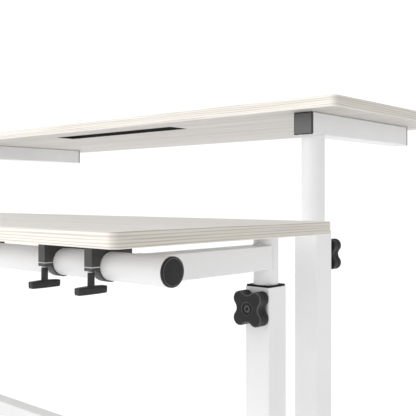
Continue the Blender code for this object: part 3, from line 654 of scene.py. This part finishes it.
def build_knob(tier, side, x, y, z, turn, seat):
    """Four-lobed grip with a recess, a hexagon in it, and its hub and stud; the front rim, the recess edge
    and the hexagon carry painted highlight.
    """
    node = f"{tier}_knob_{side}"
    low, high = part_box(node)
    front = max(abs(high.y - y), abs(low.y - y))
    tip = min(abs(high.y - y), abs(low.y - y))
    back = front - KNOB_GRIP
    shape = star(4, KNOB_LOBE_REACH, KNOB_LOBE_RADIUS, KNOB_VALLEY_RADIUS)
    place = at(x, y, z, turn)
    rings = rounded_prism(shape, back, front, KNOB_RIM, 4)
    waist = (back + front) / 2
    half = len(rings) // 2
    rings[half:half] = [
        ring(shape, waist - KNOB_WAIST), ring(inset(shape, KNOB_WAIST_DEPTH), waist - KNOB_WAIST_FLOOR),
        ring(inset(shape, KNOB_WAIST_DEPTH), waist + KNOB_WAIST_FLOOR), ring(shape, waist + KNOB_WAIST),
    ]
    floor = front - KNOB_RECESS_DEPTH
    recess = [
        (KNOB_RECESS + 0.0008, front), (KNOB_RECESS, front - 0.0005), (KNOB_RECESS - 0.0004, floor),
        (KNOB_RECESS_FLOOR, floor),
    ]
    # Painted highlight on the front rim's rounding and on the recess edge.
    finishes = [0] * (len(rings) - 5) + [1] * 4 + [0, 1, 0, 0]
    rings += [ring(projected_circle(shape, radius), height) for radius, height in recess]
    solid = Solid(node + "_finished", KNOB, PAINTED_SHEEN)
    solid.loft(rings, place, finishes=finishes)
    hexagon = circle(KNOB_HEX_RADIUS, 6)
    cup = circle(KNOB_CUP_RADIUS, 6)
    hex_top = floor + KNOB_HEX_HEIGHT
    # Painted highlight on the hexagon and the wall of its cup; only the cup's floor stays dark.
    solid.loft([
        ring(hexagon, floor - 0.0005), ring(hexagon, hex_top - 0.0004),
        ring(inset(hexagon, KNOB_HEX_BEVEL), hex_top),
        ring(cup, hex_top), ring(inset(cup, 0.0002), floor - 0.0003),
    ], place, finishes=[1, 1, 1, 1])
    hub_back = seat + 0.0005
    stud = [
        (STUD_RADIUS - STUD_BEVEL, tip), (STUD_RADIUS, tip + STUD_BEVEL), (STUD_RADIUS, hub_back),
        (HUB_RADIUS - 0.0004, hub_back), (HUB_RADIUS, hub_back + 0.0004), (HUB_RADIUS, back + 0.0010),
    ]
    solid.loft(lathe(stud, 40), place)
    return solid.piece(node, slot="knob_plastic", sharp=40.0)


# --------------------------------------------------------------------- casters
FORK_HEAD = 0.018
FORK_CHEEK = 0.0023
FORK_SIDE_PLAY = 0.0016
FORK_TOE_RADIUS = 0.0088
FORK_RACE_HEIGHT = 0.0085
FORK_TYRE_PLAY = 0.0035
PIN_RADIUS = 0.0039
PIN_HEXAGON = 0.0060
STEM_RADIUS = 0.0055
# A tyre's rounded shoulder as (distance from its side face, depth below its tread).
TYRE_SHOULDER = ((0.0, 0.0062), (0.0004, 0.0040), (0.0016, 0.0012), (0.0034, 0.0002))
TYRE_GROOVE = 0.0032
TYRE_THICKNESS = 0.0080
WHEEL_WEB = 0.0035
WHEEL_BORE = 0.0041
WHEEL_RIBS = 6
WHEEL_RIB_PLACE = 0.0125


def build_caster(place_name):
    fork_node = f"caster_fork_{place_name}"
    wheel_node = f"caster_wheel_{place_name}"
    wheel_low, wheel_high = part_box(wheel_node)
    fork_low, fork_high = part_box(fork_node)
    axle = middle(wheel_low, wheel_high)
    joint = next(j for j in frame["joints"] if j["child"] == fork_node)
    swivel = Vector(joint["pos_m"])
    build_fork(fork_node, axle, swivel, fork_low, fork_high, wheel_high)
    build_wheel(wheel_node, axle, wheel_low, wheel_high)


def build_fork(node, axle, swivel, low, high, wheel_high):
    """Pressed steel yoke: two cheeks, a crown, a ball race and a stem."""
    solid = Solid(node + "_finished", ZINC)
    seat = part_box("foot_right")[0].z - BORE_GAP
    radius = wheel_high.z - axle.z
    head = FORK_HEAD
    crown_top = seat - FORK_RACE_HEIGHT
    crown_under = axle.z + radius + FORK_TYRE_PLAY
    cheek = FORK_CHEEK
    inner = (wheel_high.x - axle.x) + FORK_SIDE_PLAY
    toe = arc(axle.y - swivel.y, axle.z, FORK_TOE_RADIUS, math.pi * 1.05, math.pi * 1.95, 14)
    outline = toe + [(head * 0.84, crown_top - 0.001), (head * 0.60, crown_top), (-head * 0.60, crown_top),
                     (-head * 0.84, crown_top - 0.001)]
    for sign in (1, -1):
        first, second = sorted((sign * inner, sign * (inner + cheek)))
        rings = rounded_prism(outline, first, second, 0.0005, 2)
        solid.loft(rings, at(swivel.x, swivel.y, 0.0, ALONG_X))
    plate = rounded_rectangle(2 * (inner + cheek), 2 * head * 0.80, 0.004)
    solid.loft(rounded_prism(plate, crown_under, crown_top, 0.0012, 3), at(swivel.x, swivel.y, 0.0))
    race = [
        (0.0120, crown_top - 0.002), (0.0165, crown_top - 0.0005), (0.0172, crown_top + 0.0020),
        (0.0158, crown_top + 0.0032), (0.0158, crown_top + 0.0042), (head - 0.0006, crown_top + 0.0054),
        (head - 0.0002, seat - 0.0012), (head - 0.0012, seat), (STEM_RADIUS, seat),
        (STEM_RADIUS, high.z - 0.0010), (STEM_RADIUS - 0.0010, high.z),
    ]
    solid.loft(lathe(race, 48), at(swivel.x, swivel.y, 0.0))
    reach = (high.x - low.x) / 2
    across = at(swivel.x, axle.y, axle.z, ALONG_X)
    pin = [
        (PIN_RADIUS - 0.0013, -reach + 0.0012), (PIN_RADIUS - 0.0003, -reach + 0.0013),
        (PIN_RADIUS, -reach + 0.0020), (PIN_RADIUS, reach - 0.0020),
        (PIN_RADIUS - 0.0003, reach - 0.0013), (PIN_RADIUS - 0.0013, reach - 0.0012),
    ]
    solid.loft(lathe(pin, 32), across)
    hexagon = circle(PIN_HEXAGON, 6)
    for sign in (1, -1):
        first, second = sorted((sign * (inner + cheek * 0.6), sign * (reach - 0.0002)))
        solid.loft(rounded_prism(hexagon, first, second, 0.0002, 1), across)
    return solid.piece(node, slot="caster_steel")


def build_wheel(node, axle, low, high):
    """Rubber tyre on a dished plastic hub with ribs on both faces."""
    solid = Solid(node + "_finished", RUBBER, GREY)
    radius = (high.z - low.z) / 2
    half = (high.x - low.x) / 2
    place = at(axle.x, axle.y, axle.z, ALONG_X)
    tyre = [(radius - edge, -half + inward) for inward, edge in TYRE_SHOULDER]
    for groove in (-TYRE_GROOVE, TYRE_GROOVE):
        tyre += [
            (radius, groove - 0.0006), (radius - 0.0005, groove - 0.0003),
            (radius - 0.0005, groove + 0.0003), (radius, groove + 0.0006),
        ]
    tyre += [(radius - edge, half - inward) for inward, edge in reversed(TYRE_SHOULDER)]
    tyre += [(radius - TYRE_THICKNESS, half - 0.0006), (radius - TYRE_THICKNESS, -half + 0.0006)]
    solid.loft(lathe(tyre, 64), place, tube=True)
    web = WHEEL_WEB
    face = [(WHEEL_BORE, half), (0.0080, half), (0.0084, half - 0.0006), (0.0090, web)]
    face += [(radius - 0.0092, web), (radius - 0.0086, half - 0.0012), (radius - 0.0078, half - 0.0008)]
    hub = [(across, -height) for across, height in face] + face[::-1]
    solid.loft(lathe(hub, 64), place, finish=1, tube=True)
    rib = rounded_rectangle(0.0080, 0.0022, 0.0008, 3)
    for index in range(WHEEL_RIBS):
        spin = Matrix.Rotation(index * 2 * math.pi / WHEEL_RIBS, 4, "Z")
        turned_rib = place @ spin @ Matrix.Translation((WHEEL_RIB_PLACE, 0.0, 0.0))
        solid.loft(rounded_prism(rib, -half + 0.0020, half - 0.0020, 0.0005, 2), turned_rib, finish=1)
    return solid.piece(node, slot="wheel_rubber")


# ------------------------------------------------------------------ lower tier
TUBE_CAP_PLATE = 0.0030
# The round cap's rim as (distance in from its edge, depth below its highest ring).
TUBE_CAP_RIM = (
    (0.0, 0.0011), (0.0002, 0.0005), (0.0007, 0.0001), (0.0012, 0.0), (0.0019, 0.0001), (0.0023, 0.0005),
    (0.0030, 0.0005),
)


def build_lower_tier():
    low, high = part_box("pivot_tube")
    centre = middle(low, high)
    outer = (high.z - low.z) / 2
    reach = (high.x - low.x) / 2
    solid = Solid("pivot_tube_finished", STEEL)
    place = Matrix.Translation(centre) @ ALONG_X
    solid.loft(round_tube_rings(outer, -reach, reach), place, tube=True)
    solid.piece("pivot_tube", slot="white_steel")
    for side, sign in SIDES:
        build_tube_cap(f"pivot_tube_cap_{side}", centre, outer, sign)
        build_front_post(side)
        build_arm(side, centre, outer)


def build_tube_cap(node, centre, tube_outer, sign):
    """Dark disc with a rounded rim and a shallow ring just inside it; the rim's inner slope carries painted
    highlight.
    """
    low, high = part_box(node)
    face = high.x if sign > 0 else low.x
    inner_end = low.x if sign > 0 else high.x
    depth = abs(face - inner_end)
    outer = (high.z - low.z) / 2
    plug = tube_outer - POST_WALL - BORE_GAP
    profile = [
        (plug - 0.0006, -depth), (plug, -depth + 0.0006), (plug, -TUBE_CAP_PLATE), (outer, -TUBE_CAP_PLATE),
    ]
    profile += [(outer - inward, -down) for inward, down in TUBE_CAP_RIM]
    profile += [(outer * 0.5, -0.0003), (CENTRE_FACET, -0.0002)]
    solid = Solid(node + "_finished", KNOB, PAINTED_SHEEN)
    place = at(face, centre.y, centre.z, ALONG_X if sign > 0 else ALONG_LEFT)
    # Painted highlight on the rim's inner slope, down into the shallow ring.
    solid.loft(lathe(profile, 72), place, finishes=[0] * 7 + [1, 1] + [0, 0, 0])
    return solid.piece(node, slot="grey_plastic")


def build_front_post(side):
    """Round tube, open below and closed by a thin lid above."""
    node = f"front_post_{side}"
    low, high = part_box(node)
    centre = middle(low, high)
    outer = (high.x - low.x) / 2
    inner = outer - POST_WALL
    ceiling = high.z - POST_LID
    profile = [
        (CENTRE_FACET, ceiling), (inner, ceiling), (inner, low.z), (outer - TUBE_RIM, low.z),
        (outer, low.z + TUBE_RIM), (outer, high.z - 0.0008), (outer - 0.0003, high.z - 0.0002),
        (outer - 0.0010, high.z), (CENTRE_FACET, high.z),
    ]
    solid = Solid(node + "_finished", STEEL)
    solid.loft(lathe(profile, 64), at(centre.x, centre.y, 0.0))
    return solid.piece(node, slot="white_steel")


def build_arm(side, tube_centre, tube_radius):
    """Square arm coped to the pivot tube in front and to the post behind, and welded to both."""
    node = f"arm_{side}"
    low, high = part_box(node)
    post_low, post_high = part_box(f"front_post_{side}")
    post = middle(post_low, post_high)
    post_radius = (post_high.x - post_low.x) / 2
    x = middle(low, high).x
    size = high.z - low.z
    outer = rounded_rectangle(size, size, BEAM_CORNER, 6, 10)
    inner = rounded_rectangle(size - 2 * STEEL_WALL, size - 2 * STEEL_WALL, BEAM_CORNER - STEEL_WALL, 6, 10)

    def front_end(dx, dz, gap=BORE_GAP):
        return tube_centre.y + math.sqrt(max((tube_radius + gap) ** 2 - dz * dz, 0.0))

    def rear_end(dx, dz, gap=BORE_GAP):
        return post.y - math.sqrt(max((post_radius + gap) ** 2 - dx * dx, 0.0))

    def end_ring(outline, end):
        return [Vector((x + dx, end(dx, dz), tube_centre.z + dz)) for dx, dz in outline]

    solid = Solid(node + "_finished", STEEL)
    solid.loft([
        end_ring(outer, front_end), end_ring(outer, rear_end),
        end_ring(inner, rear_end), end_ring(inner, front_end),
    ], tube=True)
    solid.piece(node, slot="white_steel")
    line = densify(rounded_rectangle(size, size, BEAM_CORNER), BEAD_SPACING)
    for place, end in (("tube", front_end), ("post", rear_end)):
        points = [Vector((x + dx, end(dx, dz, 0.0), tube_centre.z + dz)) for dx, dz in line]
        normals = [Vector((dx, 0.0, dz)).normalized() for dx, dz in line]
        bead(f"arm_{place}_weld_{side}", "lower_tier", points, normals)


# --------------------------------------------------------------- drawing board
def build_board(node):
    low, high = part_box(node)
    centre = middle(low, high)
    outline = rounded_rectangle(high.x - low.x, high.y - low.y, BOARD_CORNER, 12)
    rings = rounded_prism(outline, low.z, high.z, BOARD_RIM, 4)
    solid = Solid(node + "_finished", FACE, EDGE)
    solid.loft(rings, at(centre.x, centre.y, 0.0), finishes=[1] * (len(rings) - 1))
    return solid.piece(node, slot="laminate")


def build_drawing_board():
    build_board("drawing_board")
    tube_low, tube_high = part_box("pivot_tube")
    axis = middle(tube_low, tube_high)
    bore = (tube_high.z - tube_low.z) / 2 + BORE_GAP
    for side, _ in SIDES:
        build_saddle(f"middle_saddle_{side}", axis, bore)
        for place in ("outer", "inner"):
            build_saddle(f"{place}_saddle_{side}", axis, bore)
            build_strap(f"{place}_strap_{side}", axis, bore)
            build_shim(place, side, axis, bore)
            build_clamp_screw(f"{place}_clamp_screw_{side}")


def build_saddle(node, axis, bore):
    """Moulded block from the board down to the tube's middle, cut out to sit over the tube."""
    low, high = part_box(node)
    width = high.x - low.x
    front, rear = low.y - axis.y, high.y - axis.y
    top, split = high.z - axis.z, low.z - axis.z
    start = math.asin(split / bore)
    outline = [(rear, top), (front, top), (front, split)]
    outline += arc(0.0, 0.0, bore, math.pi - start, start, 28)
    outline += [(rear, split)]
    solid = Solid(node + "_finished", GREY)
    place = at(middle(low, high).x, axis.y, axis.z, ALONG_X)
    solid.loft(rounded_prism(outline, -width / 2, width / 2, 0.0005, 2), place)
    return solid.piece(node, slot="grey_plastic")


def build_strap(node, axis, bore):
    """Lower jaw: two lugs and a thin half ring under the tube."""
    low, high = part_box(node)
    width = high.x - low.x
    front, rear = low.y - axis.y, high.y - axis.y
    split = high.z - axis.z
    outer = axis.z - low.z
    under = split - LUG_HEIGHT
    inner_start = math.asin(-split / bore)
    outer_start = math.asin(-under / outer)
    outline = [(front, split), (front, under)]
    outline += arc(0.0, 0.0, outer, math.pi + outer_start, 2 * math.pi - outer_start, 28)
    outline += [(rear, under), (rear, split)]
    outline += arc(0.0, 0.0, bore, 2 * math.pi - inner_start, math.pi + inner_start, 28)
    solid = Solid(node + "_finished", GREY)
    place = at(middle(low, high).x, axis.y, axis.z, ALONG_X)
    solid.loft(rounded_prism(outline, -width / 2, width / 2, 0.0004, 2), place)
    return solid.piece(node, slot="grey_plastic")


def build_shim(place, side, axis, bore):
    """Pale edge of the bush between the clamp's two jaws, in front of the tube and behind it."""
    low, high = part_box(f"{place}_saddle_{side}")
    strap_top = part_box(f"{place}_strap_{side}")[1].z
    solid = Solid(f"{place}_bush_{side}", NYLON)
    x = middle(low, high).x
    width = high.x - low.x - 0.0002
    for first, second in ((low.y + 0.0001, axis.y - bore), (axis.y + bore, high.y - 0.0001)):
        outline = rounded_rectangle(width, second - first, 0.0003, 2)
        rings = [ring(outline, strap_top), ring(outline, low.z)]
        solid.loft(rings, at(x, (first + second) / 2, 0.0))
    return solid.piece(body="drawing_board_assembly", slot="grey_plastic")


HANDLE_HEIGHT = 0.0088
NECK_RADIUS = 0.0039
SCREW_RADIUS = 0.0030
THREAD_PITCH = 0.0010
THREAD_DEPTH = 0.0005
HANDLE_STEPS = 14
# The handle's end as (share of its half length, distance from its top or from its underside).
HANDLE_UPPER_END = ((0.99, 0.0013), (1.0, 0.0026))
HANDLE_LOWER_END = ((0.995, 0.0028), (0.975, 0.0012), (0.94, 0.0003))


def build_clamp_screw(node):
    """T-handle on a round neck; the bare screw shows above it."""
    low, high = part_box(node)
    centre = middle(low, high)
    half = (high.y - low.y) / 2
    width = high.x - low.x
    top = low.z + HANDLE_HEIGHT
    end = [(share * half, top - down) for share, down in HANDLE_UPPER_END]
    end += [(share * half, low.z + up) for share, up in HANDLE_LOWER_END]
    shares = [2 * step / HANDLE_STEPS - 1 for step in range(HANDLE_STEPS + 1)]
    outline = [(share * half * 0.97, top - 0.0007 * share * share) for share in reversed(shares)]
    outline += [(-y, z) for y, z in end]
    outline += [(share * half * 0.88, low.z + 0.0002 * share * share) for share in shares]
    outline += end[::-1]
    solid = Solid(node + "_finished", HANDLE, ZINC)
    grip = rounded_prism(outline, -width / 2, width / 2, 0.0015, 4)
    solid.loft(grip, at(centre.x, centre.y, 0.0, ALONG_X))
    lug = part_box(node.replace("clamp_screw", "strap"))[1].z - LUG_HEIGHT
    neck_top = lug - 0.0020
    shank = [
        (NECK_RADIUS - 0.0004, top - 0.003), (NECK_RADIUS + 0.0004, top - 0.0004),
        (NECK_RADIUS, top + 0.0010), (NECK_RADIUS - 0.0001, neck_top - 0.0005),
        (NECK_RADIUS - 0.0006, neck_top),
    ]
    solid.loft(lathe(shank, 40), at(centre.x, centre.y, 0.0))
    thread = [(SCREW_RADIUS - 0.0002, neck_top - 0.0002)]
    height = neck_top + 0.0002
    while height < high.z - 0.0012:
        thread += [(SCREW_RADIUS, height), (SCREW_RADIUS - THREAD_DEPTH, height + THREAD_PITCH / 2)]
        height += THREAD_PITCH
    thread += [(SCREW_RADIUS - 0.0008, high.z)]
    solid.loft(lathe(thread, 32), at(centre.x, centre.y, 0.0), finish=1)
    return solid.piece(node, slot="knob_plastic", sharp=40.0)


# ------------------------------------------------------------------ upper tier
def build_shelf():
    """Board with the cable slot through it."""
    low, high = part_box("shelf")
    liner_low, liner_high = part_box("slot_liner")
    centre = middle(low, high)
    slot = middle(liner_low, liner_high)
    length = liner_high.x - liner_low.x + 2 * BORE_GAP
    width = liner_high.y - liner_low.y + 2 * BORE_GAP
    outline = rounded_rectangle(high.x - low.x, high.y - low.y, BOARD_CORNER, 12)
    hole = [(x, y + slot.y - centre.y) for x, y in rounded_rectangle(length, width, SLOT_CORNER, 12)]
    rings = rounded_prism(outline, low.z, high.z, BOARD_RIM, 4)
    # The underside takes the darker maple copy as painted shade.
    finishes = [1] * (len(rings) - 1) + [0, 0, 2]
    rings += [ring(hole, high.z), ring(hole, low.z)]
    solid = Solid("shelf_finished", FACE, EDGE, SHADED_UNDERSIDE)
    solid.loft(rings, at(centre.x, centre.y, 0.0), tube=True, finishes=finishes)
    solid.piece("shelf", slot="laminate")
    liner_outer = rounded_rectangle(length - 2 * BORE_GAP, width - 2 * BORE_GAP, SLOT_CORNER, 8)
    liner_inner = inset(liner_outer, LINER_WALL)
    liner_lip = inset(liner_outer, LINER_WALL - LINER_LIP)
    liner = Solid("slot_liner_finished", BLACK)
    liner.loft([
        ring(liner_outer, liner_low.z), ring(liner_outer, liner_high.z),
        ring(liner_lip, liner_high.z),
        ring(liner_inner, liner_high.z - LINER_LIP), ring(liner_inner, liner_low.z + LINER_LIP),
        ring(liner_lip, liner_low.z),
    ], at(slot.x, slot.y, 0.0), tube=True)
    liner.piece("slot_liner", slot="black_plastic")


def build_upper_tier():
    build_shelf()
    for side, _ in SIDES:
        rail = f"shelf_rail_{side}"
        square_tube(rail, ALONG_FRONT)
        for end in ("front", "rear"):
            square_cap(f"rail_cap_{end}_{side}", FACING[end], rail)
        node = f"rear_post_{side}"
        low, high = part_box(node)
        centre = middle(low, high)
        outer = (high.x - low.x) / 2
        solid = Solid(node + "_finished", STEEL)
        solid.loft(round_tube_rings(outer, low.z, high.z), at(centre.x, centre.y, 0.0), tube=True)
        solid.piece(node, slot="white_steel")
        outline = circle(outer, 84)
        rail_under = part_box(rail)[0].z
        points = [Vector((centre.x + x, centre.y + y, rail_under)) for x, y in outline]
        normals = [Vector((x, y, -outer * 0.4)).normalized() for x, y in outline]
        bead(f"rear_post_weld_{side}", "upper_tier", points, normals, BEAD_RADIUS * 0.7)


# ---------------------------------------------------------- camera, floor, light
YAW = math.radians(41.7157)
CAMERA_PLACE = (0.96264, -0.75291, 0.74826)
FOCAL_LENGTH = 60.43
SHIFT_UP = -0.02442
FLOOR_REACH = 14.0
FLOOR_GLOW = 0.34
SKY_OVERHEAD = 0.72
SKY_BEHIND = 0.69
SKY_IN_FRONT = 1.38
BACKDROP = 1.05
KEY_PLACE = (-1.6, -2.6, 2.2)
KEY_TARGET = (0.0, 0.0, 0.7)
KEY_SIZE = 2.4
KEY_POWER = 26.0
WHITE = (1.0, 1.0, 1.0, 1.0)


def build_camera():
    data = bpy.data.cameras.new("photo_view")
    data.lens = FOCAL_LENGTH
    data.sensor_width = 36.0
    data.shift_y = SHIFT_UP
    data.clip_start = 0.05
    data.clip_end = 60.0
    camera = bpy.data.objects.new("photo_view", data)
    camera.location = CAMERA_PLACE
    camera.rotation_euler = (QUARTER, 0.0, YAW)
    bpy.context.scene.collection.objects.link(camera)
    bpy.context.scene.camera = camera


def build_floor():
    mesh = bpy.data.meshes.new("studio_floor")
    corners = [(x * FLOOR_REACH, y * FLOOR_REACH, 0) for x, y in ((-1, -1), (1, -1), (1, 1), (-1, 1))]
    mesh.from_pydata(corners, [], [(0, 1, 2, 3)])
    material, tree, shader = new_material("pale_floor", 0.7)
    noise = stretched_noise(tree, (3.0, 3.0, 3.0), 3.0)
    colours = ramp(tree, noise, ((0.3, (0.86, 0.86, 0.86)), (0.7, (0.88, 0.88, 0.88))))
    link(tree, colours, "Color", shader, "Base Color")
    shader.inputs["Specular IOR Level"].default_value = 0.1
    shader.inputs["Emission Color"].default_value = WHITE
    shader.inputs["Emission Strength"].default_value = FLOOR_GLOW
    mesh.materials.append(material)
    floor = bpy.data.objects.new("studio_floor", mesh)
    bpy.context.scene.collection.objects.link(floor)


def build_light():
    """White studio: bright all round the horizon, brightest in front, dimmer overhead."""
    world = bpy.data.worlds.new("white_studio")
    world.use_nodes = True
    tree = world.node_tree
    background = tree.nodes["Background"]
    place = tree.nodes.new("ShaderNodeTexCoord")
    parts = tree.nodes.new("ShaderNodeSeparateXYZ")
    link(tree, place, "Generated", parts, "Vector")
    height = ramp(tree, parts, ((0.30, (1.0, 1.0, 1.0)), (0.85, (SKY_OVERHEAD,) * 3)), "Z")
    facing = tree.nodes.new("ShaderNodeVectorMath")
    facing.operation = "DOT_PRODUCT"
    facing.inputs[1].default_value = (-0.30, -0.55, 0.0)
    link(tree, place, "Generated", facing, 0)
    lift = tree.nodes.new("ShaderNodeMapRange")
    lift.inputs["From Min"].default_value = -0.62
    lift.inputs["From Max"].default_value = 0.62
    lift.inputs["To Min"].default_value = SKY_BEHIND
    lift.inputs["To Max"].default_value = SKY_IN_FRONT
    link(tree, facing, "Value", lift, "Value")
    scale = tree.nodes.new("ShaderNodeVectorMath")
    scale.operation = "SCALE"
    link(tree, height, "Color", scale, 0)
    link(tree, lift, "Result", scale, "Scale")
    link(tree, scale, "Vector", background, "Color")
    backdrop = tree.nodes.new("ShaderNodeBackground")
    backdrop.inputs["Color"].default_value = WHITE
    backdrop.inputs["Strength"].default_value = BACKDROP
    rays = tree.nodes.new("ShaderNodeLightPath")
    choice = tree.nodes.new("ShaderNodeMixShader")
    link(tree, rays, "Is Camera Ray", choice, 0)
    link(tree, background, "Background", choice, 1)
    link(tree, backdrop, "Background", choice, 2)
    link(tree, choice, "Shader", tree.nodes["World Output"], "Surface")
    bpy.context.scene.world = world
    add_area("key", KEY_PLACE, KEY_TARGET, KEY_SIZE, KEY_POWER)
    bpy.context.scene.view_settings.view_transform = "Standard"


def add_area(name, place, target, size, power):
    data = bpy.data.lights.new(name, "AREA")
    data.shape = "DISK"
    data.size = size
    data.energy = power
    lamp = bpy.data.objects.new(name, data)
    lamp.location = place
    lamp.rotation_euler = (Vector(place) - Vector(target)).to_track_quat("Z", "Y").to_euler()
    bpy.context.scene.collection.objects.link(lamp)


build_camera()
build_floor()
build_light()
build_base()
build_lower_tier()
build_drawing_board()
build_upper_tier()
